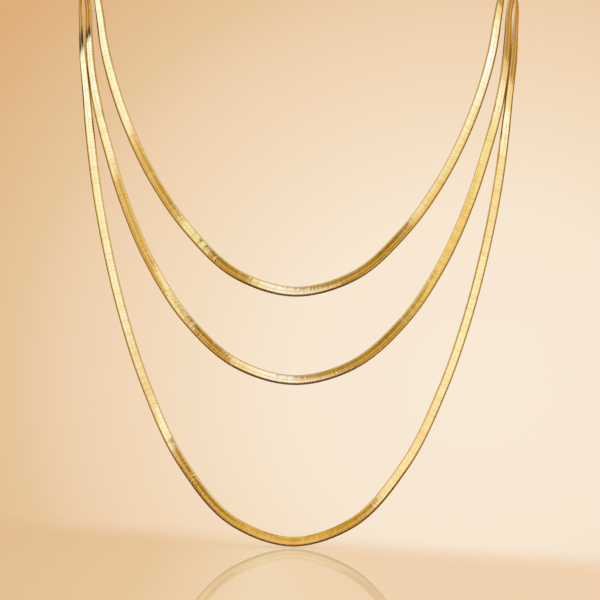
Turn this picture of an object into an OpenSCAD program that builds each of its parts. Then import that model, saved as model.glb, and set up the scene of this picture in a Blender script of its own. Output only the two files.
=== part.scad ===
// Triple flat snake chain necklace on one clasp, in millimetres.
// X runs across the front, +Y points behind the wearer and +Z is up.
// The origin is at the nape, in the middle of the clasp's inner face.

/* [Chains] */
// Width of each flat chain
chain_w = 3; // [2.6:0.1:3.2]
// Thickness of each flat chain
chain_t = 1; // [0.8:0.1:1.1]
// Longest step between two rings of a chain's surface
chain_step = 6; // [5:1:9]

/* [End caps] */
// Thickness of the cap's sheet over the chain's faces
cap_wall = 0.2; // [0.2:0.05:0.25]
// Clearance between a chain and its cap
cap_gap = 0.1; // [0.05:0.05:0.15]
// Length of the cap's box
cap_l = 5.6; // [5:0.2:7]
// Angle between neighbouring caps where they fan out from the ring
cap_fan = 16; // [14:1:18]
// Angle by which the caps lean forwards round the neck
cap_lean = 10; // [6:1:14]

/* [Rings and clasp] */
// Distance from the middle of the back to the middle of each ring
ring_x = 8.3; // [8.3:0.1:8.5]
// Radius of each ring, at the middle of its wire
ring_r = 3.6; // [3.5:0.05:3.7]
// Thickness of the ring's wire
ring_wire = 0.9; // [0.7:0.1:1]
// Thickness of the clasp
clasp_t = 2.4; // [2:0.1:2.6]

/* [Hidden] */
$fn = 48;
gold = [0.93, 0.74, 0.36];
deep_gold = [0.80, 0.60, 0.26];

// The three chains by number
short = 0;
middle = 1;
long = 2;

// Every eye has this hole, rim and sheet
eye_hole_r = 1.1;
eye_rim_r = 1.95;
eye_t = 0.8;
// Half the width of the neck of sheet between an eye and its cap's box
eye_neck = 1.1;
// Where the cap's box, its pocket and the chain begin, counted from the eye
box_from = 3;
pocket_from = 3.8;
chain_from = 4.1;
cap_end = box_from + cap_l;
pocket_w = chain_w + 2 * cap_gap + 0.1;
pocket_t = chain_t + 2 * cap_gap;
cap_w = pocket_w + 2 * cap_wall + 0.1;
cap_t = pocket_t + 2 * cap_wall;

// The caps lie in three layers on the ring, one over the other
layer_gap = 0.3;
layers = [-cap_t - layer_gap, 0, cap_t + layer_gap];
fans = [cap_fan, 0, -cap_fan];
ring_y = clasp_t / 2;

// Half of each chain's route from its cap down to its lowest point.
// Columns: across, behind (+) the nape, up, and how far the face turns from straight ahead.
drape = [
  [ // short
    [25.5, -4, 3.8, 164],
    [33, -6.2, 4, 155],
    [42.5, -11, 2.4, 144],
    [51.6, -19.3, -0.6, 132],
    [58.4, -29.5, -4.4, 119],
    [62.8, -40.5, -9, 107],
    [64.8, -51.5, -14.4, 95],
    [64.5, -61.5, -20.8, 79],
    [62.5, -70, -28, 60],
    [60.8, -76.5, -36, 40],
    [59, -82, -46, 24],
    [56, -86.5, -57, 14],
    [50.8, -91, -71, 9],
    [43, -94, -86.4, 7],
    [32, -97, -101.6, 5],
    [17.6, -99.5, -114.4, 3],
    [0, -100.5, -119.4, 0]
  ],
  [ // middle
    [27, -2.4, -0.2, 163],
    [34.5, -5.8, -0.9, 154],
    [43.5, -11.7, -2.6, 143],
    [51.9, -19.5, -5.2, 131],
    [58.7, -29, -9, 118],
    [63.6, -39.5, -13.7, 106],
    [66.4, -50, -19.4, 94],
    [66.6, -60, -26, 81],
    [64.8, -69, -33.6, 68],
    [64, -76.5, -42, 54],
    [62.9, -82.5, -52, 38],
    [60.8, -87.5, -63, 23],
    [57, -91.5, -77, 12],
    [51.8, -94, -93, 9],
    [43.8, -96.5, -111, 7],
    [32, -98.5, -128.6, 5],
    [17, -100.5, -141.3, 3],
    [0, -101.5, -145.8, 0]
  ],
  [ // long
    [26.5, -1, -3.8, 163],
    [34, -4.8, -5.1, 154],
    [43, -11.2, -7, 143],
    [51.5, -19, -9.7, 131],
    [58.4, -28, -13.4, 118],
    [63.8, -37.8, -18, 106],
    [67, -47.5, -23.8, 94],
    [67.8, -56.5, -30.6, 82],
    [67, -65.5, -38.6, 70],
    [66, -74, -48.5, 58],
    [64.4, -81, -59.5, 42],
    [62.8, -87, -72, 22],
    [60.2, -91.5, -90, 11],
    [56.6, -94.5, -108, 10],
    [51.6, -96.5, -127.5, 8],
    [44.2, -98.5, -149, 6],
    [33.2, -100.5, -171.3, 4],
    [17.4, -102, -188.7, 2],
    [0, -102.5, -194.2, 0]
  ]
];

// Outline of a flat chain: its width, then its thickness, once round.
// The faces are flat and the edges are bevelled.
bevel_w = 0.3;
edge_t = 0.36;
section = [
  [chain_w / 2, edge_t / 2],
  [chain_w / 2 - bevel_w, chain_t / 2],
  [bevel_w - chain_w / 2, chain_t / 2],
  [-chain_w / 2, edge_t / 2],
  [-chain_w / 2, -edge_t / 2],
  [bevel_w - chain_w / 2, -chain_t / 2],
  [chain_w / 2 - bevel_w, -chain_t / 2],
  [chain_w / 2, -edge_t / 2]
];

function unit(v) = v / norm(v);
function place(row) = [row[0], row[1], row[2]];
function turned(v, a) = [v[0] * cos(a) - v[1] * sin(a), v[0] * sin(a) + v[1] * cos(a), v[2]];

// Where the wire of the right ring passes a cap's layer, measured from the ring's middle
function eye_x(k) = sqrt(ring_r * ring_r - layers[k] * layers[k]) - (k == middle ? 0 : 0.07);

// A row of the route on a right cap's own axis, at a distance from its eye
function on_cap(k, along) =
  let (local = [eye_x(k) + along * cos(fans[k]), layers[k], along * sin(fans[k])])
  concat(turned(local, -cap_lean) + [ring_x, ring_y, 0], [180 - cap_lean]);

function half_route(k) = concat([on_cap(k, chain_from), on_cap(k, cap_end)], drape[k]);
function other_side(row) = [-row[0], row[1], row[2], -row[3]];

// The whole route, from the left cap down through the lowest point and up to the right cap
function route(k) =
  let (half = half_route(k), last = len(half) - 1)
  concat([for (row = half) other_side(row)], [for (i = [last - 1:-1:0]) half[i]]);

// Direction of the route at each row, from its two neighbours
function slopes(rows) =
  let (
    n = len(rows) - 1,
    steps = [for (i = [0:n - 1]) norm(place(rows[i + 1]) - place(rows[i]))],
    ways = [for (i = [0:n - 1]) (rows[i + 1] - rows[i]) / steps[i]]
  )
  [for (i = [0:n])
    i == 0 ? ways[0]
    : i == n ? ways[n - 1]
    : (ways[i - 1] * steps[i] + ways[i] * steps[i - 1]) / (steps[i - 1] + steps[i])];

// A smooth curve between two rows that keeps their directions
function between(a, b, way_a, way_b, t) =
  let (step = norm(place(b) - place(a)))
  (2 * t ^ 3 - 3 * t ^ 2 + 1) * a + (t ^ 3 - 2 * t ^ 2 + t) * step * way_a
  + (3 * t ^ 2 - 2 * t ^ 3) * b + (t ^ 3 - t ^ 2) * step * way_b;

// Rows close enough together for the surface, none more than about chain_step apart
function fine_route(rows) =
  let (ways = slopes(rows), n = len(rows) - 1)
  concat(
    [for (i = [0:n - 1])
      let (parts = ceil(norm(place(rows[i + 1]) - place(rows[i])) / chain_step))
      for (j = [0:parts - 1]) between(rows[i], rows[i + 1], ways[i], ways[i + 1], j / parts)],
    [rows[n]]
  );

// The section's points, set square across the route at row i
function ring_of(rows, i) =
  let (
    here = place(rows[i]),
    along = unit(place(rows[min(i + 1, len(rows) - 1)]) - place(rows[max(i - 1, 0)])),
    ahead = [sin(rows[i][3]), -cos(rows[i][3]), 0],
    face = unit(ahead - (ahead * along) * along),
    edge = cross(along, face)
  )
  [for (p = section) here + p[0] * edge + p[1] * face];

// One flat chain as a closed band
module strand(k) {
  rows = fine_route(route(k));
  sides = len(section);
  last = len(rows) - 1;
  points = [for (i = [0:last]) for (p = ring_of(rows, i)) p];
  walls = [for (i = [0:last - 1]) for (j = [0:sides - 1])
    let (next = (j + 1) % sides)
    [i * sides + j, i * sides + next, (i + 1) * sides + next, (i + 1) * sides + j]];
  near_end = [for (j = [sides - 1:-1:0]) j];
  far_end = [for (j = [0:sides - 1]) last * sides + j];
  color(gold) polyhedron(points, concat(walls, [near_end, far_end]));
}

// A bar along X with round long edges, from x = 0
module round_bar(l, w, t) {
  translate([0, -t / 2, (t - w) / 2]) cube([l, t, w - t]);
  for (side = [-1, 1])
    translate([0, 0, side * (w - t) / 2]) rotate([0, 90, 0]) cylinder(h = l, r = t / 2);
}

// A flat eye in the XZ plane, its hole along Y
module eye(t) {
  rotate([90, 0, 0]) cylinder(h = t, r = eye_rim_r, center = true);
}

module eye_hole(t) {
  rotate([90, 0, 0]) cylinder(h = t + 1, r = eye_hole_r, center = true);
}

// An end cap from its eye at the origin along X, open at its far end
module end_cap() {
  difference() {
    union() {
      eye(eye_t);
      translate([0, -eye_t / 2, -eye_neck]) cube([box_from + 0.2, eye_t, 2 * eye_neck]);
      translate([box_from, 0, 0]) round_bar(cap_l, cap_w, cap_t);
    }
    eye_hole(eye_t);
    translate([pocket_from, 0, 0]) round_bar(cap_l, pocket_w, pocket_t);
  }
}

// The end cap of chain k on the right ring
module cap(k) {
  color(deep_gold)
    translate([ring_x, ring_y, 0]) rotate([0, 0, -cap_lean])
      translate([eye_x(k), layers[k], 0]) rotate([0, -fans[k], 0]) end_cap();
}

module ring() {
  color(deep_gold)
    translate([ring_x, ring_y, 0])
      rotate_extrude() translate([ring_r, 0]) circle(r = ring_wire / 2);
}

module left() {
  mirror([1, 0, 0]) children();
}

// One plain piece: an eye for the left ring and a claw whose window takes the right ring
module clasp() {
  eye_at = 0.1 - ring_x + ring_r;
  window_r = 1.9;
  window_at = ring_x - ring_r + ring_wire / 2 + 0.5 - window_r;
  claw_r = 3.2;
  claw_at = window_at - 0.6;
  knob_r = 0.8;
  color(deep_gold)
    translate([0, clasp_t / 2, 0]) rotate([90, 0, 0]) difference() {
      union() {
        translate([eye_at, 0, 0]) cylinder(h = clasp_t, r = eye_rim_r, center = true);
        translate([claw_at, 0, 0]) cylinder(h = clasp_t, r = claw_r, center = true);
        translate([0, 0, -clasp_t / 2]) linear_extrude(height = clasp_t)
          polygon([[eye_at, -eye_neck], [claw_at, -claw_r + 0.4], [claw_at, claw_r - 0.4],
            [eye_at, eye_neck]]);
        translate([claw_at - 1, claw_r, 0]) cylinder(h = clasp_t * 0.6, r = knob_r, center = true);
      }
      translate([eye_at, 0, 0]) cylinder(h = clasp_t + 1, r = eye_hole_r, center = true);
      translate([window_at, 0, 0]) cylinder(h = clasp_t + 1, r = window_r, center = true);
    }
}

strand(short);  // strand_short
strand(middle);  // strand_middle
strand(long);  // strand_long
left() cap(short);  // cap_short_left
cap(short);  // cap_short_right
left() cap(middle);  // cap_middle_left
cap(middle);  // cap_middle_right
left() cap(long);  // cap_long_left
cap(long);  // cap_long_right
left() ring();  // ring_left
ring();  // ring_right
clasp();
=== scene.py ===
import math

import bmesh
import bpy
import numpy as np
from mathutils import Matrix, Vector


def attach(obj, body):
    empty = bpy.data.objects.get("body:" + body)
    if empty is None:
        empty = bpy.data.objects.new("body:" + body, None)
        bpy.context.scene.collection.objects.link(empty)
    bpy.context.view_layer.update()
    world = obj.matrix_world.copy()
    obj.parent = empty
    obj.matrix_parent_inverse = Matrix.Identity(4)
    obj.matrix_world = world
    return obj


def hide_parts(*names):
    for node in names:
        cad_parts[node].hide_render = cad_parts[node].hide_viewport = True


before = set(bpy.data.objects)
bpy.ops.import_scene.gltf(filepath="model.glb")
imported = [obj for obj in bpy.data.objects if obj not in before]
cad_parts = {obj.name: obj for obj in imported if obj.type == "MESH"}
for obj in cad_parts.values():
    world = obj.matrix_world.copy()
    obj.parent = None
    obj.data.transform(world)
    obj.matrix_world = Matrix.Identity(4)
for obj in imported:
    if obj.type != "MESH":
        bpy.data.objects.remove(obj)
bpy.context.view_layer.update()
mm = 0.001


# sRGB hex to linear colour
def linear(code):
    values = [int(code[i:i + 2], 16) / 255 for i in (1, 3, 5)]
    return tuple(v / 12.92 if v <= 0.04045 else ((v + 0.055) / 1.055) ** 2.4
                 for v in values) + (1.0,)


# a node with its fields, its sockets' values and its links
def addNode(tree, kind, settings=None, links=None, **fields):
    node = tree.nodes.new(kind)
    for name, value in fields.items():
        setattr(node, name, value)
    for name, value in (settings or {}).items():
        node.inputs[name].default_value = value
    for name, source in (links or {}).items():
        tree.links.new(source, node.inputs[name])
    return node


def newMaterial(name):
    material = bpy.data.materials.new(name)
    material.use_nodes = True
    material.node_tree.nodes.clear()
    return material, material.node_tree


# gives a ramp its stops, each a position with a hex code or a linear colour
def setRamp(node, stops):
    stops = [(at, linear(c) if isinstance(c, str) else c) for at, c in stops]
    ramp = node.color_ramp
    while len(ramp.elements) > 1:
        ramp.elements.remove(ramp.elements[-1])
    ramp.elements[0].position = stops[0][0]
    ramp.elements[0].color = stops[0][1]
    for position, colour in stops[1:]:
        ramp.elements.new(position).color = colour
    return node


# where the caps hang on their rings, in millimetres and degrees, as in the part's own solids
capPlaces = {
    "ringAcross": 8.3, "ringBehind": 1.2, "ringRadius": 3.6, "slack": 0.07,
    "lean": 10, "fans": (16, 0, -16), "layers": (-1.9, 0, 1.9),
    "chainFrom": 4.1, "capEnd": 8.6,
}

# right half of each chain's route, from its cap to its lowest point, as in the part's own
# solids: across, behind and up in millimetres, then the turn of its face in degrees
drapes = (
    (
        (25.5, -4, 3.8, 164), (33, -6.2, 4, 155), (42.5, -11, 2.4, 144),
        (51.6, -19.3, -0.6, 132), (58.4, -29.5, -4.4, 119), (62.8, -40.5, -9, 107),
        (64.8, -51.5, -14.4, 95), (64.5, -61.5, -20.8, 79), (62.5, -70, -28, 60),
        (60.8, -76.5, -36, 40), (59, -82, -46, 24), (56, -86.5, -57, 14), (50.8, -91, -71, 9),
        (43, -94, -86.4, 7), (32, -97, -101.6, 5), (17.6, -99.5, -114.4, 3),
        (0, -100.5, -119.4, 0),
    ),
    (
        (27, -2.4, -0.2, 163), (34.5, -5.8, -0.9, 154), (43.5, -11.7, -2.6, 143),
        (51.9, -19.5, -5.2, 131), (58.7, -29, -9, 118), (63.6, -39.5, -13.7, 106),
        (66.4, -50, -19.4, 94), (66.6, -60, -26, 81), (64.8, -69, -33.6, 68),
        (64, -76.5, -42, 54), (62.9, -82.5, -52, 38), (60.8, -87.5, -63, 23),
        (57, -91.5, -77, 12), (51.8, -94, -93, 9), (43.8, -96.5, -111, 7),
        (32, -98.5, -128.6, 5), (17, -100.5, -141.3, 3), (0, -101.5, -145.8, 0),
    ),
    (
        (26.5, -1, -3.8, 163), (34, -4.8, -5.1, 154), (43, -11.2, -7, 143),
        (51.5, -19, -9.7, 131), (58.4, -28, -13.4, 118), (63.8, -37.8, -18, 106),
        (67, -47.5, -23.8, 94), (67.8, -56.5, -30.6, 82), (67, -65.5, -38.6, 70),
        (66, -74, -48.5, 58), (64.4, -81, -59.5, 42), (62.8, -87, -72, 22),
        (60.2, -91.5, -90, 11), (56.6, -94.5, -108, 10), (51.6, -96.5, -127.5, 8),
        (44.2, -98.5, -149, 6), (33.2, -100.5, -171.3, 4), (17.4, -102, -188.7, 2),
        (0, -102.5, -194.2, 0),
    ),
)
chainNames = ("short", "middle", "long")


# how far a cap's eye lies from the middle of its ring
def eyeAcross(chain):
    layer = capPlaces["layers"][chain]
    slack = 0 if layer == 0 else capPlaces["slack"]
    return math.sqrt(capPlaces["ringRadius"] ** 2 - layer ** 2) - slack


# row of the route on the right cap's own axis
def onCap(chain, along):
    c = capPlaces
    fan, lean = math.radians(c["fans"][chain]), math.radians(-c["lean"])
    x = eyeAcross(chain) + along * math.cos(fan)
    y = c["layers"][chain]
    return (c["ringAcross"] + x * math.cos(lean) - y * math.sin(lean),
            c["ringBehind"] + x * math.sin(lean) + y * math.cos(lean),
            along * math.sin(fan), 180 - c["lean"])


# smooth curve through the rows of the whole route, from the left cap to the right one
def denseRoute(chain, parts=24):
    half = np.array([onCap(chain, capPlaces["chainFrom"]), onCap(chain, capPlaces["capEnd"])]
                    + list(drapes[chain]), float)
    rows = np.vstack([half * (-1, 1, 1, -1), half[-2::-1]])
    steps = np.linalg.norm(np.diff(rows[:, :3], axis=0), axis=1)[:, None]
    ways = np.diff(rows, axis=0) / steps
    inner = (ways[:-1] * steps[1:] + ways[1:] * steps[:-1]) / (steps[:-1] + steps[1:])
    slopes = np.vstack([ways[:1], inner, ways[-1:]])
    t = np.linspace(0, 1, parts, endpoint=False)[None, :, None]
    start, end, step = rows[:-1, None], rows[1:, None], steps[:, None]
    curve = ((2 * t ** 3 - 3 * t ** 2 + 1) * start
             + (t ** 3 - 2 * t ** 2 + t) * step * slopes[:-1, None]
             + (3 * t ** 2 - 2 * t ** 3) * end + (t ** 3 - t ** 2) * step * slopes[1:, None])
    return np.vstack([curve.reshape(-1, 4), rows[-1:]])


def unit(v):
    return v / np.linalg.norm(v, axis=-1, keepdims=True)


# the links, in millimetres and degrees
linkSettings = {
    "pitch": 0.56, "air": 0.01, "width": 2.965, "thickness": 0.88, "sink": 0.15,
    # the long edges: how wide the inner and the outer bevel are, the plain edge left between
    # front and back, and where a bevel bends, as a share of its width and a depth
    "bevelIn": 0.3, "bevelOut": 0.62, "edgeThickness": 0.34, "bendShare": 0.42, "bendDown": 0.13,
    # the crease along the spine: half its width, how deep it goes and the air at its bottom
    "spineGap": 0.08, "spineDepth": 0.06, "spineAir": 0.004,
    # how far the two arms lean like a roof and sweep back from the spine, and their fine rims
    "roof": 0.7, "slant": 14, "rim": 0.022,
    # shading: how far the broad faces seem crowned, and how a face is known by its normal: a
    # broad or a leaning one by its share ahead, and a rim between the links by its share along
    "crown": 0.5, "broadAhead": 0.99, "leaningAhead": 0.95, "rimAlong": 0.3,
    # what the grooves along the spine and those between the links count as in the gold's ramp;
    # the brown of the latter is painted shade
    "spineGroove": 0.3, "rimGroove": 1,
    # how unevenly the links lie
    "jitter": 0.2, "seed": 7,
}

# how each chain's links lean: distance from the lowest point, then roll (inner edge back) and
# nod (towards the left end) in degrees
sways = (
    (
        (-150, 0, 0), (-118, 8, -8), (-110, 3, -3), (-104, 0, 0), (-86, -2.1, -1.1),
        (-73, -1.9, 0.1), (-59, -0.9, 2.5), (-51, -0.5, 0.6), (-42, -0.2, -0.3), (-31, 0.4, -0.2),
        (-22, 0.5, -0.2), (-14, 0.5, 0.4), (-10, 0.7, -0.1), (2, 0.9, -0.1), (16, 0.7, 0),
        (28, 0.5, 0.7), (41, 0, 0.2), (51, -0.5, -1), (62, -1.1, -3.6), (74, -1.3, -0.5),
        (86, -2.4, 0.6), (101, 1, 4), (106, 3, 6), (110, 6, 8), (120, 10, 8), (150, 0, 0),
    ),
    (
        (-172, 0, 0), (-148, 18, 0), (-139, 14, -1), (-130, 10, -2), (-122, 2, 0),
        (-110, -2.9, -1.6), (-98, -3, -0.1), (-88, -2.8, 1.4), (-84, -1.2, -0.3),
        (-69, -1.5, -0.1), (-52, -1, 2.2), (-38, 0.5, 1.6), (-27, 1.1, -0.1), (-21, 1.2, -0.4),
        (-12, 1.4, -0.7), (1, 1.7, -0.3), (19, 1.2, -0.2), (29, 0.5, -0.7), (39, 0.1, -3.2),
        (51, -1.1, -2.8), (68, -1.5, -0.9), (85, -1.4, -0.7), (97, -1.6, 2.2), (105, -0.9, 3.6),
        (110, -1, 4), (114, -1, 3), (121, 3, -3), (129, 10, -3), (140, 16, -1), (150, 18, 0),
        (172, 0, 0),
    ),
    (
        (-222, 0, 0), (-195, 17, -6), (-184, 16, -9), (-174, 15, -7), (-160, 8, -4),
        (-148, 1, -2), (-129, -8.5, -0.6), (-110, -10.2, -1.3), (-92, -11.8, -0.3),
        (-73, -11.9, -0.2), (-59, -9.2, -2.2), (-50, -7.3, -2.9), (-37, -6.6, -2.5),
        (-17, -6.8, -0.6), (0, -6.6, 0), (11, -6.9, -0.1), (28, -7.1, 1.8), (40, -7.7, 1.2),
        (55, -8.7, 1.2), (70, -10.9, 0), (92, -10.2, 0.2), (121, -8.7, 1.7), (138, -4, 3),
        (148, -2, 6), (154, -1, 6), (165, 8, 4), (176, 15, 0), (195, 17, 0), (222, 0, 0),
    ),
)

# stretches where the links lie less or more even: middle, reach and what it adds to the jitter
ruffles = (
    ((-29, 6, 0.5), (18, 14, -0.1)),
    ((-32, 6, 0.5), (27, 14, -0.1)),
    ((-37, 9, 0.4),),
)


# half a link, from the spine outwards along +Y, with its face on +Z, in millimetres
def oneArm(bevel):
    s = linkSettings
    roof = math.tan(math.radians(s["roof"]))
    half = s["width"] / 2
    shoulder = half - bevel
    top = s["thickness"] / 2
    upper = [(s["spineAir"], top - s["spineDepth"]), (s["spineGap"], top),
             (shoulder, top - shoulder * roof),
             (half - bevel * s["bendShare"], top - s["bendDown"]), (half, s["edgeThickness"] / 2)]
    outline = upper + [(y, -z) for y, z in reversed(upper)]
    body = bmesh.new()
    length = s["pitch"] - s["air"]
    loop = [body.verts.new((-length / 2, y, z)) for y, z in outline]
    face = body.faces.new(loop)
    grown = bmesh.ops.extrude_face_region(body, geom=[face])
    moved = [v for v in grown["geom"] if isinstance(v, bmesh.types.BMVert)]
    bmesh.ops.translate(body, vec=(length, 0, 0), verts=moved)
    bmesh.ops.recalc_face_normals(body, faces=body.faces)
    # the outlines at both ends get a fine rim, then the arm is swept back
    rims = [e for e in body.edges if abs(e.verts[0].co.x - e.verts[1].co.x) < 1e-6]
    bmesh.ops.bevel(body, geom=rims, offset=s["rim"], segments=1, profile=0.5, affect="EDGES",
                    material=-1)
    slant = math.tan(math.radians(s["slant"]))
    for v in body.verts:
        v.co.x += (v.co.y - half / 2) * slant
    return body


# points and faces of both arms, the inner one towards -Y
def oneLink():
    points, faces = [], []
    for bevel, side in ((linkSettings["bevelOut"], 1), (linkSettings["bevelIn"], -1)):
        arm = oneArm(bevel)
        arm.verts.index_update()
        start = len(points)
        points += [(v.co.x, side * v.co.y, v.co.z) for v in arm.verts]
        # the chain's frame is left-handed, so the faces are turned over to look outwards
        faces += [[start + v.index for v in f.verts][::-side] for f in arm.faces]
        arm.free()
    return np.array(points), faces


# places a chain's links on its route: their distances along it, middles and three directions
def hangLinks(chain, rng):
    s = linkSettings
    route = denseRoute(chain)
    steps = np.linalg.norm(np.diff(route[:, :3], axis=0), axis=1)
    run = np.concatenate([[0], np.cumsum(steps)])
    count = int(round(run[-1] / s["pitch"]))
    pitch = run[-1] / count
    at = (np.arange(count) + 0.5) * pitch

    # the route at any distance
    def look(distance):
        return np.stack([np.interp(distance, run, route[:, i]) for i in range(4)], axis=-1)

    here, before, after = look(at), look(at - pitch / 2), look(at + pitch / 2)
    along = unit(after[:, :3] - before[:, :3])
    sway = np.array(sways[chain], float)
    fromLow = at - run[-1] / 2
    roll = np.radians(np.interp(fromLow, sway[:, 0], sway[:, 1]))
    nod = np.radians(np.interp(fromLow, sway[:, 0], sway[:, 2]))
    turn = np.radians(here[:, 3])
    ahead = np.stack([np.sin(turn), -np.cos(turn), np.zeros(count)], axis=-1)
    face = unit(ahead - (ahead * along).sum(1, keepdims=True) * along)
    edge = np.cross(along, face)
    jitter = np.full(count, s["jitter"])
    for centre, reach, added in ruffles[chain]:
        jitter += added * np.clip(1 - np.abs(fromLow - centre) / reach, 0, 1)
    roll = roll + np.radians(rng.normal(0, jitter, count))
    nod = nod + np.radians(rng.normal(0, jitter, count))
    cosRoll, sinRoll = np.cos(roll)[:, None], np.sin(roll)[:, None]
    face, edge = face * cosRoll - edge * sinRoll, edge * cosRoll + face * sinRoll
    cosNod, sinNod = np.cos(nod)[:, None], np.sin(nod)[:, None]
    along, face = along * cosNod + face * sinNod, face * cosNod - along * sinNod
    return at, here[:, :3] - s["sink"] * face, along, edge, face


# one flat chain: every link is a copy of the same one, and all are joined in one mesh
def makeChain(chain):
    s = linkSettings
    rng = np.random.default_rng(s["seed"] + chain)
    at, middle, along, edge, face = hangLinks(chain, rng)
    count = len(at)
    points, faces = oneLink()
    places = (middle[:, None]
              + points[None, :, 0:1] * along[:, None] + points[None, :, 1:2] * edge[:, None]
              + points[None, :, 2:3] * face[:, None]) * mm
    sizes = np.array([len(f) for f in faces])
    flat = np.concatenate(faces)
    corners = (np.arange(count)[:, None] * len(points) + flat[None, :]).reshape(-1)
    starts = np.concatenate([[0], np.cumsum(np.tile(sizes, count))[:-1]])
    mesh = bpy.data.meshes.new("chain_" + chainNames[chain])
    mesh.vertices.add(count * len(points))
    mesh.vertices.foreach_set("co", places.ravel())
    mesh.loops.add(len(corners))
    mesh.loops.foreach_set("vertex_index", corners)
    mesh.polygons.add(count * len(faces))
    mesh.polygons.foreach_set("loop_start", starts)
    mesh.update(calc_edges=True)
    mesh.shade_flat()
    # UV map: distance along the chain in centimetres, and place across it from the inner edge
    uv = mesh.uv_layers.new(name="along_across")
    acrossPoint = points[:, 1] / s["width"] + 0.5
    uvAlong = (at[:, None] + points[None, :, 0]) / 10
    uvs = np.stack([uvAlong, np.broadcast_to(acrossPoint, uvAlong.shape)], axis=-1).reshape(-1, 2)
    uv.data.foreach_set("uv", uvs[corners].ravel())
    # which faces line the grooves, along the spine and between the links, where the rims are
    # seen as the fine lines across the chain
    corner = [points[f] for f in faces]
    normals = np.array([unit(np.cross(c[1] - c[0], c[2] - c[0])) for c in corner])
    fromSpine = np.array([abs(c[:, 1].mean()) for c in corner])
    ahead = np.abs(normals[:, 2])
    leaning, broadOnes = ahead < s["leaningAhead"], ahead > s["broadAhead"]
    depth = np.where((fromSpine < s["spineGap"] + s["rim"]) & leaning, s["spineGroove"], 0)
    depth = np.where(np.abs(normals[:, 0]) > s["rimAlong"], s["rimGroove"], depth)
    # the broad faces are a little crowned: their normals lean further out towards the edges
    broad = np.repeat(broadOnes, sizes)
    mesh.polygons.foreach_set("use_smooth", np.tile(broadOnes, count))
    spot = points[flat[broad]]
    share = np.abs(spot[:, 1]) / (s["width"] / 2 - s["bevelIn"])
    lean = np.radians(s["roof"] + s["crown"] * (2 * share - 1)) * np.sign(spot[:, 1])
    shown = np.zeros((count, len(flat), 3))
    shown[:, broad] = (edge[:, None] * np.sin(lean)[None, :, None]
                       + face[:, None] * (np.cos(lean) * np.sign(spot[:, 2]))[None, :, None])
    mesh.normals_split_custom_set(shown.reshape(-1, 3))
    groove = mesh.attributes.new("groove", "FLOAT", "FACE")
    groove.data.foreach_set("value", np.tile(depth, count).astype(float))
    tone = mesh.attributes.new("linkTone", "FLOAT", "POINT")
    tone.data.foreach_set("value", np.repeat(rng.random(count), len(points)))
    piece = bpy.data.objects.new(mesh.name, mesh)
    bpy.context.scene.collection.objects.link(piece)
    return piece


goldSettings = {
    # the plating's colour, from the dullest to the brightest links, and its tint seen edge-on
    "tones": ((0.0, "#F6D58C"), (0.4, "#FFE29D"), (1.0, "#FFE6A6")), "edgeOn": "#FFE6B4",
    "roughness": 0.09,
    # its colour across the chain from the inner edge on, with painted shade along both edges: a
    # thin brown line of painted shade by the inner bevel, the plain front, then painted shade,
    # golden towards the outer bevel and brown on it; the sides are plain
    "across": ((0.004, "#FFFFFF"), (0.008, "#C09C58"), (0.05, "#D8BC7C"), (0.1, "#FFFFFF"),
               (0.67, "#FFFFFF"), (0.76, "#F6E4BC"), (0.83, "#EAC684"), (0.85, "#9A763C"),
               (0.992, "#8A6630"), (0.996, "#FFFFFF")),
    # the grooves: pale along the spine, and brown painted shade between the links
    "grooves": ((0.3, "#FFE0A0"), (0.7, "#9A6428")), "grooveFrom": 0.1,
}


# gold-plated brass, rolled and polished: a bright yellow mirror, with painted brown shade in the
# grooves between its links and along its edges, and a slightly different tone from link to link
def chainGold():
    material, tree = newMaterial("polished gold-plated brass, flat links")
    s = goldSettings
    uv = addNode(tree, "ShaderNodeUVMap", uv_map="along_across")
    split = addNode(tree, "ShaderNodeSeparateXYZ", links={"Vector": uv.outputs["UV"]})
    # painted shade: brown lines along both edges, and a golden band towards the outer one
    paintedEdgeShade = setRamp(addNode(tree, "ShaderNodeValToRGB", links={"Fac": split.outputs["Y"]}),
                    s["across"])
    tone = addNode(tree, "ShaderNodeAttribute", attribute_name="linkTone")
    tones = setRamp(addNode(tree, "ShaderNodeValToRGB", links={"Fac": tone.outputs["Fac"]}),
                    s["tones"])
    colour = addNode(tree, "ShaderNodeMix", {"Factor": 1.0},
                     {6: tones.outputs["Color"], 7: paintedEdgeShade.outputs["Color"]},
                     data_type="RGBA", blend_type="MULTIPLY")
    # painted shade: the grooves between the links take a brown, those along the spine stay pale
    # gold
    groove = addNode(tree, "ShaderNodeAttribute", attribute_name="groove")
    deep = setRamp(addNode(tree, "ShaderNodeValToRGB", links={"Fac": groove.outputs["Fac"]}),
                   s["grooves"])
    inGroove = addNode(tree, "ShaderNodeMath", {1: s["grooveFrom"]}, {0: groove.outputs["Fac"]},
                       operation="GREATER_THAN")
    whole = addNode(tree, "ShaderNodeMix", data_type="RGBA",
                    links={0: inGroove.outputs[0], 6: colour.outputs[2],
                           7: deep.outputs["Color"]})
    shader = addNode(tree, "ShaderNodeBsdfPrincipled",
                     {"Metallic": 1.0, "Roughness": s["roughness"],
                      "Specular Tint": linear(s["edgeOn"])},
                     {"Base Color": whole.outputs[2]})
    addNode(tree, "ShaderNodeOutputMaterial", links={"Surface": shader.outputs["BSDF"]})
    return material


print("stage: chains")
chainMaterial = chainGold()
for chain, name in enumerate(chainNames):
    piece = makeChain(chain)
    piece.data.materials.append(chainMaterial)
    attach(piece, "root")
    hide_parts("strand_" + name)


sharpFrom = 40  # the fittings' edges that bend by more degrees than this are shown sharp
quarterTurn = (0, 22.5, 45, 67.5, 90)  # steps round a rounded rim, in degrees


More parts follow.
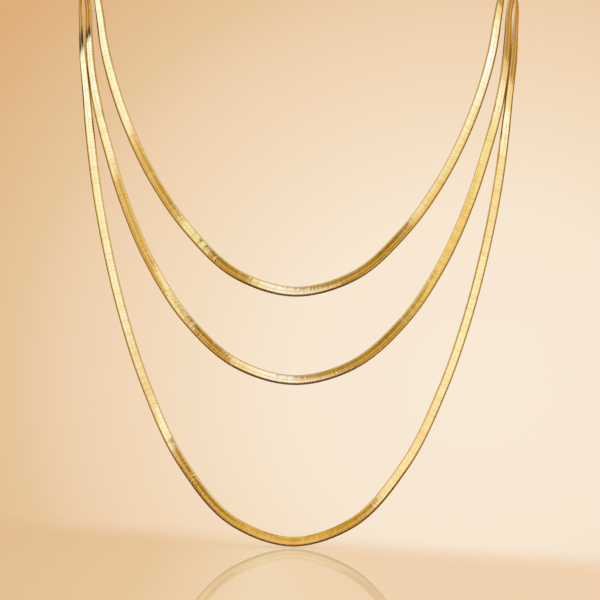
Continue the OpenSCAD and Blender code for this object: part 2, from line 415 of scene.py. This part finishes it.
# puts a finished fitting in the scene in place of its node
def newPiece(node, body, material):
    mesh = bpy.data.meshes.new("fine_" + node)
    bmesh.ops.remove_doubles(body, verts=body.verts, dist=1e-7)
    bmesh.ops.recalc_face_normals(body, faces=body.faces)
    for face in body.faces:
        face.smooth = True
    body.to_mesh(mesh)
    body.free()
    mesh.set_sharp_from_angle(angle=math.radians(sharpFrom))
    mesh.materials.append(material)
    piece = bpy.data.objects.new(mesh.name, mesh)
    bpy.context.scene.collection.objects.link(piece)
    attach(piece, "root")
    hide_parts(node)


# from millimetres on the right side to metres on either side
def toSide(side):
    return Matrix.Scale(mm, 4) @ Matrix.Diagonal((-1 if side == "left" else 1, 1, 1, 1))


# closed loop of edges through points
def edgeLoop(body, outline):
    points = [body.verts.new(point) for point in outline]
    return [body.edges.new((points[i - 1], points[i])) for i in range(len(points))]


# walls from each loop of edges to the next
def wallsAlong(body, loops):
    for first, second in zip(loops, loops[1:]):
        bmesh.ops.bridge_loops(body, edges=first + second)


# walls along X through flat outlines with round ends, wide along Z and thin along Y: each is
# its place along X, half its width and half its thickness
def roundEnded(body, rows, steps=10):
    loops = []
    for x, halfWide, halfThick in rows:
        outline = []
        for side in (1, -1):
            for i in range(steps + 1):
                turn = math.pi * i / steps
                outline.append((x, side * halfThick * math.cos(turn),
                                side * (halfWide - halfThick + halfThick * math.sin(turn))))
        loops.append(edgeLoop(body, outline))
    wallsAlong(body, loops)
    return loops


# washer round Y with rounded rims: its profile goes once round
def washer(body, centre, inner, outer, halfThick, rim, around=48):
    corners = ((outer - rim, halfThick - rim, 0), (inner + rim, halfThick - rim, 90),
               (inner + rim, rim - halfThick, 180), (outer - rim, rim - halfThick, 270))
    profile = []
    for radius, height, start in corners:
        for turned in quarterTurn:
            turn = math.radians(start + turned)
            profile.append((centre[0] + radius + rim * math.cos(turn),
                            centre[1] + height + rim * math.sin(turn), centre[2]))
    edges = edgeLoop(body, profile)
    bmesh.ops.spin(body, geom=[edge.verts[1] for edge in edges] + edges, cent=centre,
                   axis=(0, 1, 0), dvec=(0, 0, 0), angle=2 * math.pi, steps=around,
                   use_merge=True)


# an end cap, in millimetres from the middle of its eye along its chain
capShape = {
    "hole": 1.1, "eye": 1.94, "eyeHalf": 0.4, "eyeRim": 0.16,
    # the neck between eye and shell: its places and how much wider it gets there
    "neckHalf": 1.1, "neckThinner": 0.02,
    "neck": ((1.3, 0), (2.2, 0), (2.7, 0.08), (3.0, 0.24), (3.25, 0.42)),
    # the shell, its rounded shoulder (how far along, how far in) and the band round its mouth
    "from": 3.0, "end": 8.6, "halfWide": 1.89, "halfThick": 0.79,
    "shoulder": ((0, 0.5), (0.03, 0.34), (0.1, 0.18), (0.22, 0.06), (0.4, 0)),
    "lip": 0.05, "lipFrom": 0.75, "lipSlope": 0.07, "lipRound": 0.02,
    # the pocket for the chain
    "pocketWide": 1.65, "pocketThick": 0.6, "pocketFrom": 3.8, "mouth": 0.06, "mouthDeep": 0.08,
}


def makeCap(chain, side, material):
    s = capShape
    body = bmesh.new()
    washer(body, (0, 0, 0), s["hole"], s["eye"], s["eyeHalf"], s["eyeRim"])
    neck = roundEnded(body, [(x, s["neckHalf"] + wider,
                              s["eyeHalf"] - s["neckThinner"] + wider / 2)
                             for x, wider in s["neck"]])
    bmesh.ops.edgeloop_fill(body, edges=neck[0] + neck[-1])
    # outside from the shoulder to the lip, and inside from the mouth to the pocket's end
    lipWide, lipThick, end = s["halfWide"], s["halfThick"], s["end"]
    wide, thick = lipWide - s["lip"], lipThick - s["lip"]
    shell = roundEnded(body, [(s["from"] + x, wide - less, thick - less)
                              for x, less in s["shoulder"]] + [
        (end - s["lipFrom"], wide, thick),
        (end - s["lipFrom"] + s["lipSlope"], lipWide, lipThick),
        (end - s["lipSlope"], lipWide, lipThick),
        (end, wide - s["lipRound"], thick - s["lipRound"])])
    pocketWide, pocketThick = s["pocketWide"], s["pocketThick"]
    pocket = roundEnded(body, [
        (end, pocketWide + s["mouth"], pocketThick + s["mouth"]),
        (end - s["mouthDeep"], pocketWide, pocketThick),
        (s["pocketFrom"], pocketWide, pocketThick)])
    bmesh.ops.edgeloop_fill(body, edges=shell[0] + pocket[-1])
    bmesh.ops.triangle_fill(body, edges=shell[-1] + pocket[0], use_beauty=True)
    c = capPlaces
    place = (Matrix.Translation((c["ringAcross"], c["ringBehind"], 0))
             @ Matrix.Rotation(math.radians(-c["lean"]), 4, "Z")
             @ Matrix.Translation((eyeAcross(chain), c["layers"][chain], 0))
             @ Matrix.Rotation(math.radians(-c["fans"][chain]), 4, "Y"))
    bmesh.ops.transform(body, matrix=toSide(side) @ place, verts=body.verts)
    newPiece("cap_" + chainNames[chain] + "_" + side, body, material)


# a jump ring of round wire, whose soldered seam leaves a fine groove: the wire's share of its
# full radius, and the turns on either side of the seam, in degrees
ringShape = {
    "radius": 3.6, "wire": 0.45, "sides": 14, "around": 96, "full": 0.995,
    "seam": 130, "groove": 0.93, "grooveHalf": 0.35, "grooveEdge": 0.9,
}


def makeRing(side, material):
    s = ringShape
    body = bmesh.new()
    turns = [360 * i / s["around"] for i in range(s["around"])]
    turns += [s["seam"] + sign * half for sign in (-1, 1)
              for half in (s["grooveHalf"], s["grooveEdge"])]
    loops = []
    for angle in sorted(turns):
        inSeam = abs(angle - s["seam"]) < (s["grooveHalf"] + s["grooveEdge"]) / 2
        place = (Matrix.Rotation(math.radians(angle), 4, "Z")
                 @ Matrix.Translation((s["radius"], 0, 0)) @ Matrix.Rotation(math.pi / 2, 4, "X"))
        wire = s["wire"] * (s["groove"] if inSeam else s["full"])
        points = bmesh.ops.create_circle(body, segments=s["sides"], radius=wire,
                                         matrix=place)["verts"]
        loops.append([body.edges.get((points[i - 1], points[i])) for i in range(len(points))])
    wallsAlong(body, loops + loops[:1])
    place = Matrix.Translation((capPlaces["ringAcross"], capPlaces["ringBehind"], 0))
    bmesh.ops.transform(body, matrix=toSide(side) @ place, verts=body.verts)
    newPiece("ring_" + side, body, material)


# the clasp, in millimetres: an eye, a bar that widens, and a round claw with its window and knob
claspShape = {
    "thick": 2.4, "round": 0.3, "holeRound": 0.2, "eyeAt": -4.6, "eye": 1.95, "eyeHole": 1.1,
    "bar": (1.1, 2.8), "clawAt": 3.15, "claw": 3.2, "windowAt": 3.75, "window": 1.9,
    "knobBack": 1, "knobHole": 0.12, "knob": 0.79, "knobThick": 1.44, "knobRim": 0.1,
}


def makeClasp(material):
    s = claspShape
    body = bmesh.new()

    # outline of the eye, the bar and the claw, taken in by a distance
    def outline(less, y, steps=60):
        left, right = s["eyeAt"] - s["eye"] + less, s["clawAt"] + s["claw"] - less
        top = []
        for i in range(steps + 1):
            x = (left + right) / 2 - (right - left) / 2 * math.cos(math.pi * i / steps)
            heights = [0.0]
            for at, radius in ((s["eyeAt"], s["eye"]), (s["clawAt"], s["claw"])):
                heights.append(math.sqrt(max((radius - less) ** 2 - (x - at) ** 2, 0)))
            if s["eyeAt"] <= x <= s["clawAt"]:
                part = (x - s["eyeAt"]) / (s["clawAt"] - s["eyeAt"])
                heights.append(s["bar"][0] + (s["bar"][1] - s["bar"][0]) * part - less)
            top.append((x, y, max(heights)))
        return top + [(x, y, -z) for x, y, z in reversed(top[1:-1])]

    def circle(at, radius, y, count=48):
        turns = [2 * math.pi * i / count for i in range(count)]
        return [(at + radius * math.cos(a), y, radius * math.sin(a)) for a in turns]

    # steps of a rounded rim: how far in and how far from the flat
    def rims(radius):
        turns = [math.radians(a) for a in quarterTurn]
        steps = [(radius * (1 - math.sin(a)), radius * (1 - math.cos(a))) for a in turns]
        return steps + [(less, s["thick"] - down) for less, down in reversed(steps)]

    walls = [[edgeLoop(body, outline(less, y)) for less, y in rims(s["round"])]]
    for at, radius in ((s["eyeAt"], s["eyeHole"]), (s["windowAt"], s["window"])):
        walls.append([edgeLoop(body, circle(at, radius + less, y))
                      for less, y in rims(s["holeRound"])])
    for loops in walls:
        wallsAlong(body, loops)
    # front and back flats with their two openings
    for row in (0, -1):
        edges = [edge for loops in walls for edge in loops[row]]
        bmesh.ops.triangle_fill(body, edges=edges, use_beauty=True)
    washer(body, (s["clawAt"] - s["knobBack"], s["thick"] / 2, s["claw"]), s["knobHole"],
           s["knob"], s["knobThick"] / 2, s["knobRim"], around=32)
    bmesh.ops.transform(body, matrix=Matrix.Scale(mm, 4), verts=body.verts)
    newPiece("clasp", body, material)


fittingSettings = {
    # cloudy wear, 2.4 mm across (1 m / 420), with its tones and the roughness of dull and bright
    "cloud": 420, "tones": ((0.3, "#F2CD86"), (0.55, "#FFE29D"), (0.75, "#FFE8AC")),
    "roughness": (0.22, 0.12),
    # polishing lines along the pieces, 0.1 mm apart (1 m / 1100 / 9) and 0.02 mm deep
    "lines": 1100, "narrow": 9, "lineDepth": 0.02 * mm, "lineStrength": 0.12,
}


# gold-plated brass, cast and polished by hand: a softer yellow mirror than the links, with
# cloudy wear and fine polishing lines
def fittingGold():
    s = fittingSettings
    material, tree = newMaterial("polished gold-plated brass, cast fittings")
    place = addNode(tree, "ShaderNodeTexCoord").outputs["Object"]
    cloud = addNode(tree, "ShaderNodeTexNoise",
                    {"Scale": s["cloud"], "Detail": 3, "Roughness": 0.6}, {"Vector": place})
    tone = setRamp(addNode(tree, "ShaderNodeValToRGB", links={"Fac": cloud.outputs["Fac"]}),
                   s["tones"])
    gloss = addNode(tree, "ShaderNodeMapRange",
                    {"From Min": s["tones"][0][0], "From Max": s["tones"][2][0],
                     "To Min": s["roughness"][0], "To Max": s["roughness"][1]},
                    {"Value": cloud.outputs["Fac"]})
    stretched = addNode(tree, "ShaderNodeMapping", {"Scale": (1.0, s["narrow"], s["narrow"])},
                        {"Vector": place})
    lines = addNode(tree, "ShaderNodeTexNoise", {"Scale": s["lines"], "Detail": 2},
                    {"Vector": stretched.outputs["Vector"]})
    bump = addNode(tree, "ShaderNodeBump",
                   {"Strength": s["lineStrength"], "Distance": s["lineDepth"]},
                   {"Height": lines.outputs["Fac"]})
    shader = addNode(tree, "ShaderNodeBsdfPrincipled",
                     {"Metallic": 1.0, "Specular Tint": linear(goldSettings["edgeOn"])},
                     {"Base Color": tone.outputs["Color"], "Roughness": gloss.outputs[0],
                      "Normal": bump.outputs["Normal"]})
    addNode(tree, "ShaderNodeOutputMaterial", links={"Surface": shader.outputs["BSDF"]})
    return material


print("stage: fittings")
fittingMaterial = fittingGold()
for side in ("left", "right"):
    makeRing(side, fittingMaterial)
    for chain in range(3):
        makeCap(chain, side, fittingMaterial)
makeClasp(fittingMaterial)

print("stage: camera and light")
cameraSettings = {
    "distance": 1.0, "elevation": 2.5, "roll": 0.66, "target": (0.0014, -0.097, -0.122),
    "lens": 200, "sensor": 36, "clip": (0.01, 20),
}


def makeCamera():
    s = cameraSettings
    data = bpy.data.cameras.new("camera")
    data.lens = s["lens"]
    data.sensor_width = s["sensor"]
    data.clip_start, data.clip_end = s["clip"]
    camera = bpy.data.objects.new("camera", data)
    elevation = math.radians(s["elevation"])
    back = Vector((0, -math.cos(elevation), math.sin(elevation)))
    turn = (-back).to_track_quat("-Z", "Y")
    rollTurn = Matrix.Rotation(math.radians(s["roll"]), 4, "Z")
    camera.matrix_world = (Matrix.Translation(Vector(s["target"]) + back * s["distance"])
                           @ turn.to_matrix().to_4x4() @ rollTurn)
    bpy.context.scene.collection.objects.link(camera)
    bpy.context.scene.camera = camera


makeCamera()

# the studio as the polished gold shows it, in degrees to the right of the viewer and up: each
# colour is that of the gold under the lamp or card which begins at that angle
studio = {
    # in front, above and below the border between the upper and the lower lamps
    "upperHalf": (
        (-40, "#E2BA66"), (-25.5, "#AE800C"), (-18.6, "#F4E2A0"), (-15.2, "#7E5400"),
        (-13.4, "#A07004"), (-9.5, "#F0DA90"), (-6.5, "#F4EED2"), (6, "#A87A0C"),
        (13, "#906600"), (18, "#ECD898"), (27, "#F2E2A8"),
    ),
    "lowerHalf": (
        (-40, "#E0B864"), (-27.7, "#CDA03E"), (-20.7, "#F4E2A0"), (-17.2, "#BE8E24"),
        (-10.9, "#F0D898"), (-7.2, "#F4EED6"), (-1.5, "#E6C688"), (6, "#B88828"),
        (20.5, "#E8C468"), (29, "#F2E0A0"),
    ),
    "border": {"least": -0.5, "rise": 0.8, "from": 10.75, "soft": 0.3},
    # below them a pale shelf, then the low lamps and the lowest ones
    "shelf": ((-40, "#EED69C"), (-20, "#E2C676"), (15, "#EED084"), (33, "#F0DCA0")),
    "low": (
        (-40, "#F8EEC4"), (-22.5, "#A06C08"), (-11, "#C8962C"), (9.5, "#9C6C0C"),
        (16.8, "#F4DC9A"), (25, "#F4DC9A"),
    ),
    "lowest": (
        (-40, "#F8EEC4"), (-24.5, "#C4922C"), (-11, "#DEB054"), (9.5, "#C4922C"),
        (18, "#F4DC9A"), (25, "#F4DC9A"),
    ),
    "lowBorder": {"least": -19.8, "rise": 0.29, "soft": 0.5},
    # all round, in three heights
    "around": (
        (-200, "#F4E2AC"), (-172, "#B47A22"), (-119, "#3A1404"), (-107, "#F6EAC0"),
        (-62, "#F6E6B0"), (-31, "#D8A648"), (0, "#EED68E"), (46, "#F4E6B8"), (60, "#F6ECC6"),
        (84, "#E8CC84"), (98, "#B4802A"), (172, "#F4E2AC"),
    ),
    "aroundHigh": (
        (-200, "#F4E2AC"), (-172, "#B47A22"), (-119, "#3A1404"), (-107, "#F6F0CC"),
        (-62, "#F8EABC"), (-31, "#E2B664"), (0, "#F6E6B0"), (36, "#F6ECC2"), (42, "#F8F2D4"),
        (48, "#FAF6E2"), (68, "#F2E2AC"), (84, "#E8CC84"), (98, "#B8842E"), (172, "#F4E2AC"),
    ),
    "aroundLow": (
        (-200, "#F6E8B8"), (-172, "#D8AA54"), (-160, "#F4E2AC"), (-146, "#C8923A"),
        (-137, "#4A2C10"), (-130, "#F6EAC0"), (-41.2, "#EAD296"), (0, "#F4DC9A"),
        (36, "#F6E4AC"), (60, "#FAF0C8"), (128, "#BC8A38"), (143, "#F4E2AC"), (158, "#D8AA54"),
        (170, "#F6E8B8"),
    ),
    # tops of the lamps, each with half the width of its soft edge
    "lowTop": (-9.6, 0.8), "shelfTop": (-4.2, 0.7), "aroundLowTop": (1.5, 1.0),
    "aroundTop": (14, 1.0),
    # on the right the lamps all round stand higher
    "higherFrom": (30, 40), "higherBy": 7,
    # overhead and under the necklace, with the angles between which they begin
    "overhead": "#D8CA9C", "overheadFrom": (35, 60),
    "under": "#7C5814", "underAround": "#C89A4C", "underFrom": (-24, -34), "underSides": (50, 80),
    # the edges of the card right of the viewer slant across the height of the chains' spines
    "slanting": {"by": 2.8, "from": (-6, -3), "to": (12, 9), "spineRise": 0.16, "spine": -0.7},
    # where the front lamps end, how soft the lamps' edges are and how bright all of them are
    "front": 30, "frontReach": 32, "aroundReach": 200,
    "softFront": 0.35, "softShelf": 1, "softLow": 0.6, "softAround": 3,
    "dimmed": 3, "strength": 3.6,
}
goldBase = (1.0, 0.766, 0.336)  # what gold throws back of white light

# pale peach backdrop with a painted pool of light, brightest low on the right and deeper towards
# the upper left
backdropSettings = {
    "middle": (0.054, -0.068), "scale": (7.1, 7.7), "nearest": 0.3, "reach": 4,
    "colours": ((0.0, "#F9EAD6"), (0.1, "#F8E7D1"), (0.15, "#F4DEC2"), (0.19, "#F1D6B6"),
                (0.225, "#EDCEAB"), (0.25, "#E7C59B"), (0.33, "#DEAE7B"), (0.8, "#F1D9BC")),
    "mirrored": (1.34, 1.74, 2.9),  # makes up for the table's warm gloss
}


def makeWorld():
    world = bpy.data.worlds.new("soft studio")
    bpy.context.scene.world = world
    world.use_nodes = True
    tree = world.node_tree
    tree.nodes.clear()

    # links a socket, or sets it
    def feed(node, i, value):
        if hasattr(value, "node"):
            tree.links.new(value, node.inputs[i])
        else:
            node.inputs[i].default_value = value

    def calc(operation, *values):
        node = addNode(tree, "ShaderNodeMath", operation=operation)
        for i, value in enumerate(values):
            feed(node, i, value)
        return node.outputs[0]

    def step(value, start, end):
        return addNode(tree, "ShaderNodeMapRange", {"From Min": start, "From Max": end},
                       {"Value": value}, interpolation_type="SMOOTHSTEP").outputs[0]

    def blend(amount, first, second):
        node = addNode(tree, "ShaderNodeMix", data_type="RGBA")
        for i, value in ((0, amount), (6, first), (7, second)):
            feed(node, i, value)
        return node.outputs[2]

    # light that makes the gold show a colour, dimmed so that no stop of a ramp is above one
    def light(code):
        return tuple(v / g / studio["dimmed"] for v, g in zip(linear(code), goldBase)) + (1.0,)

    # the lamps and cards of one height, between minus and plus reach degrees
    def belt(name, reach, soft, turn):
        stops = [(0.0, light(studio[name][0][1]))]
        for at, code in studio[name][1:]:
            place = at / reach / 2 + 0.5
            stops += [(place - soft / reach / 2, stops[-1][1]),
                      (place + soft / reach / 2, light(code))]
        fac = calc("MULTIPLY_ADD", turn, 0.5 / reach, 0.5)
        node = addNode(tree, "ShaderNodeValToRGB", links={"Fac": fac})
        return setRamp(node, stops).outputs["Color"]

    # how far a height lies above the top of some lamps
    def above(name, height):
        top, soft = studio[name]
        return step(height, top - soft, top + soft)

    direction = addNode(tree, "ShaderNodeTexCoord").outputs["Generated"]
    split = addNode(tree, "ShaderNodeSeparateXYZ", links={"Vector": direction})
    x, y, z = split.outputs
    across = calc("MULTIPLY", calc("ARCTAN2", x, calc("MULTIPLY", y, -1)), 180 / math.pi)
    up = calc("MULTIPLY", calc("ARCSINE", z), 180 / math.pi)
    aside = calc("ABSOLUTE", across)

    # in front
    slope = studio["slanting"]
    near = calc("MULTIPLY", step(across, *slope["from"]), step(across, *slope["to"]))
    spineUp = calc("MULTIPLY_ADD", across, slope["spineRise"], slope["spine"])
    slanting = calc("MULTIPLY", calc("MULTIPLY", near, slope["by"]),
                    calc("SUBTRACT", up, spineUp))
    slanted = calc("ADD", across, slanting)
    border = studio["border"]
    borderUp = calc("MAXIMUM", calc("MULTIPLY", calc("SUBTRACT", aside, border["from"]),
                                    border["rise"]), border["least"])
    upper = step(calc("SUBTRACT", up, borderUp), -border["soft"], border["soft"])
    reach, soft = studio["frontReach"], studio["softFront"]
    front = blend(upper, belt("lowerHalf", reach, soft, slanted),
                  belt("upperHalf", reach, soft, slanted))
    front = blend(above("shelfTop", up), belt("shelf", reach, studio["softShelf"], across), front)
    border = studio["lowBorder"]
    borderUp = calc("MULTIPLY_ADD", aside, border["rise"], border["least"])
    soft = studio["softLow"]
    low = blend(step(calc("SUBTRACT", up, borderUp), -border["soft"], border["soft"]),
                belt("lowest", reach, soft, across), belt("low", reach, soft, across))
    front = blend(above("lowTop", up), low, front)

    # all round, overhead and below
    reach, soft = studio["aroundReach"], studio["softAround"]
    raised = calc("SUBTRACT", up,
                  calc("MULTIPLY", step(across, *studio["higherFrom"]), studio["higherBy"]))
    around = blend(above("aroundTop", raised), belt("around", reach, soft, across),
                   belt("aroundHigh", reach, soft, across))
    around = blend(above("aroundLowTop", up), belt("aroundLow", reach, soft, across), around)
    total = blend(step(aside, studio["front"] - 1, studio["front"] + 1), front, around)
    total = blend(step(up, *studio["overheadFrom"]), total, light(studio["overhead"]))
    under = blend(step(aside, *studio["underSides"]), light(studio["under"]),
                  light(studio["underAround"]))
    total = blend(step(up, *studio["underFrom"]), total, under)
    total = addNode(tree, "ShaderNodeVectorMath", {"Scale": studio["strength"]}, {0: total},
                    operation="SCALE").outputs[0]

    # the backdrop, seen directly and in the table
    b = backdropSettings
    depth = calc("MAXIMUM", calc("ABSOLUTE", y), b["nearest"])
    sideways = calc("MULTIPLY", calc("SUBTRACT", calc("DIVIDE", x, depth), b["middle"][0]),
                    b["scale"][0])
    upwards = calc("MULTIPLY", calc("SUBTRACT", calc("DIVIDE", z, depth), b["middle"][1]),
                   b["scale"][1])
    spread = calc("SQRT", calc("ADD", calc("POWER", sideways, 2), calc("POWER", upwards, 2)))
    backdrop = setRamp(addNode(tree, "ShaderNodeValToRGB",
                               links={"Fac": calc("DIVIDE", spread, b["reach"])}), b["colours"])
    path = addNode(tree, "ShaderNodeLightPath")
    mirrored = addNode(tree, "ShaderNodeVectorMath", {1: b["mirrored"]},
                       {0: backdrop.outputs["Color"]}, operation="MULTIPLY").outputs[0]
    colour = blend(path.outputs["Is Singular Ray"], total, mirrored)
    colour = blend(path.outputs["Is Camera Ray"], colour, backdrop.outputs["Color"])
    background = addNode(tree, "ShaderNodeBackground", links={"Color": colour})
    addNode(tree, "ShaderNodeOutputWorld", links={"Surface": background.outputs["Background"]})


# the table top, in metres: its far edge runs a little askew and it fades out at the sides
floorSettings = {
    "radius": 0.6, "at": (0, -0.1, -0.196), "askew": 0.48, "farEdge": (-0.12, -0.055),
    "fadeRound": (0, -0.13, -0.196), "fade": (0.16, 0.42),
    # its paint from left to right, with a painted pool of light: brightest just right of the
    # middle and darker towards the left
    "pool": (-0.09, 0.03),
    "paintWithPaintedPool": ((0.0, "#EAB973"), (0.4, "#F2C986"), (0.68, "#FFE4AC"), (0.85, "#FEDEA6"),
              (1.0, "#FEDCA7")),
    "varnish": (1.0, 0.87, 0.72, 1.0), "varnishIor": 1.45, "satin": 0.55,
}


# painted wood under a smooth satin varnish: a pale surface that mirrors softly when seen
# edge-on, about half as much as a gloss one, with a painted pool of light in its paint
def paintedTable():
    s = floorSettings
    material, tree = newMaterial("painted wood under satin varnish")
    place = addNode(tree, "ShaderNodeTexCoord").outputs["Object"]
    split = addNode(tree, "ShaderNodeSeparateXYZ", links={"Vector": place})
    askew = addNode(tree, "ShaderNodeMath", {1: s["askew"]},
                    {0: split.outputs["X"], 2: split.outputs["Y"]}, operation="MULTIPLY_ADD")
    farEdge = addNode(tree, "ShaderNodeMapRange",
                      {"From Min": s["farEdge"][0], "From Max": s["farEdge"][1],
                       "To Min": 1.0, "To Max": 0.0},
                      {"Value": askew.outputs[0]}, interpolation_type="SMOOTHSTEP")
    away = addNode(tree, "ShaderNodeVectorMath", {1: s["fadeRound"]}, {0: place},
                   operation="DISTANCE")
    fade = addNode(tree, "ShaderNodeMapRange",
                   {"From Min": s["fade"][0], "From Max": s["fade"][1],
                    "To Min": 1.0, "To Max": 0.0},
                   {"Value": away.outputs["Value"]}, interpolation_type="SMOOTHSTEP")
    solid = addNode(tree, "ShaderNodeMath", links={0: farEdge.outputs[0], 1: fade.outputs[0]},
                    operation="MULTIPLY")
    pool = addNode(tree, "ShaderNodeMapRange",
                   {"From Min": s["pool"][0], "From Max": s["pool"][1]},
                   {"Value": split.outputs["X"]})
    # painted pool of light: the paint is brightest just right of the middle and darker towards
    # the left
    paintedPoolTint = setRamp(addNode(tree, "ShaderNodeValToRGB", links={"Fac": pool.outputs[0]}),
                   s["paintWithPaintedPool"])
    paintWithPaintedPool = addNode(tree, "ShaderNodeBsdfDiffuse", links={"Color": paintedPoolTint.outputs["Color"]})
    gloss = addNode(tree, "ShaderNodeBsdfGlossy", {"Color": s["varnish"], "Roughness": 0.0})
    edgeOn = addNode(tree, "ShaderNodeFresnel", {"IOR": s["varnishIor"]})
    satin = addNode(tree, "ShaderNodeMath", {1: s["satin"]}, {0: edgeOn.outputs[0]},
                    operation="MULTIPLY")
    coat = addNode(tree, "ShaderNodeMixShader",
                   links={0: satin.outputs[0], 1: paintWithPaintedPool.outputs[0], 2: gloss.outputs[0]})
    clear = addNode(tree, "ShaderNodeBsdfTransparent")
    mix = addNode(tree, "ShaderNodeMixShader",
                  links={0: solid.outputs[0], 1: clear.outputs[0], 2: coat.outputs[0]})
    addNode(tree, "ShaderNodeOutputMaterial", links={"Surface": mix.outputs["Shader"]})
    return material


def makeFloor():
    s = floorSettings
    body = bmesh.new()
    bmesh.ops.create_circle(body, cap_ends=True, segments=96, radius=s["radius"])
    bmesh.ops.translate(body, vec=s["at"], verts=body.verts)
    mesh = bpy.data.meshes.new("floor")
    body.to_mesh(mesh)
    body.free()
    mesh.materials.append(paintedTable())
    floor = bpy.data.objects.new("floor", mesh)
    bpy.context.scene.collection.objects.link(floor)
    floor.visible_glossy = False  # the gold mirrors the studio alone


makeWorld()
makeFloor()

view = bpy.context.scene.view_settings
view.view_transform = "Standard"
view.look = "None"
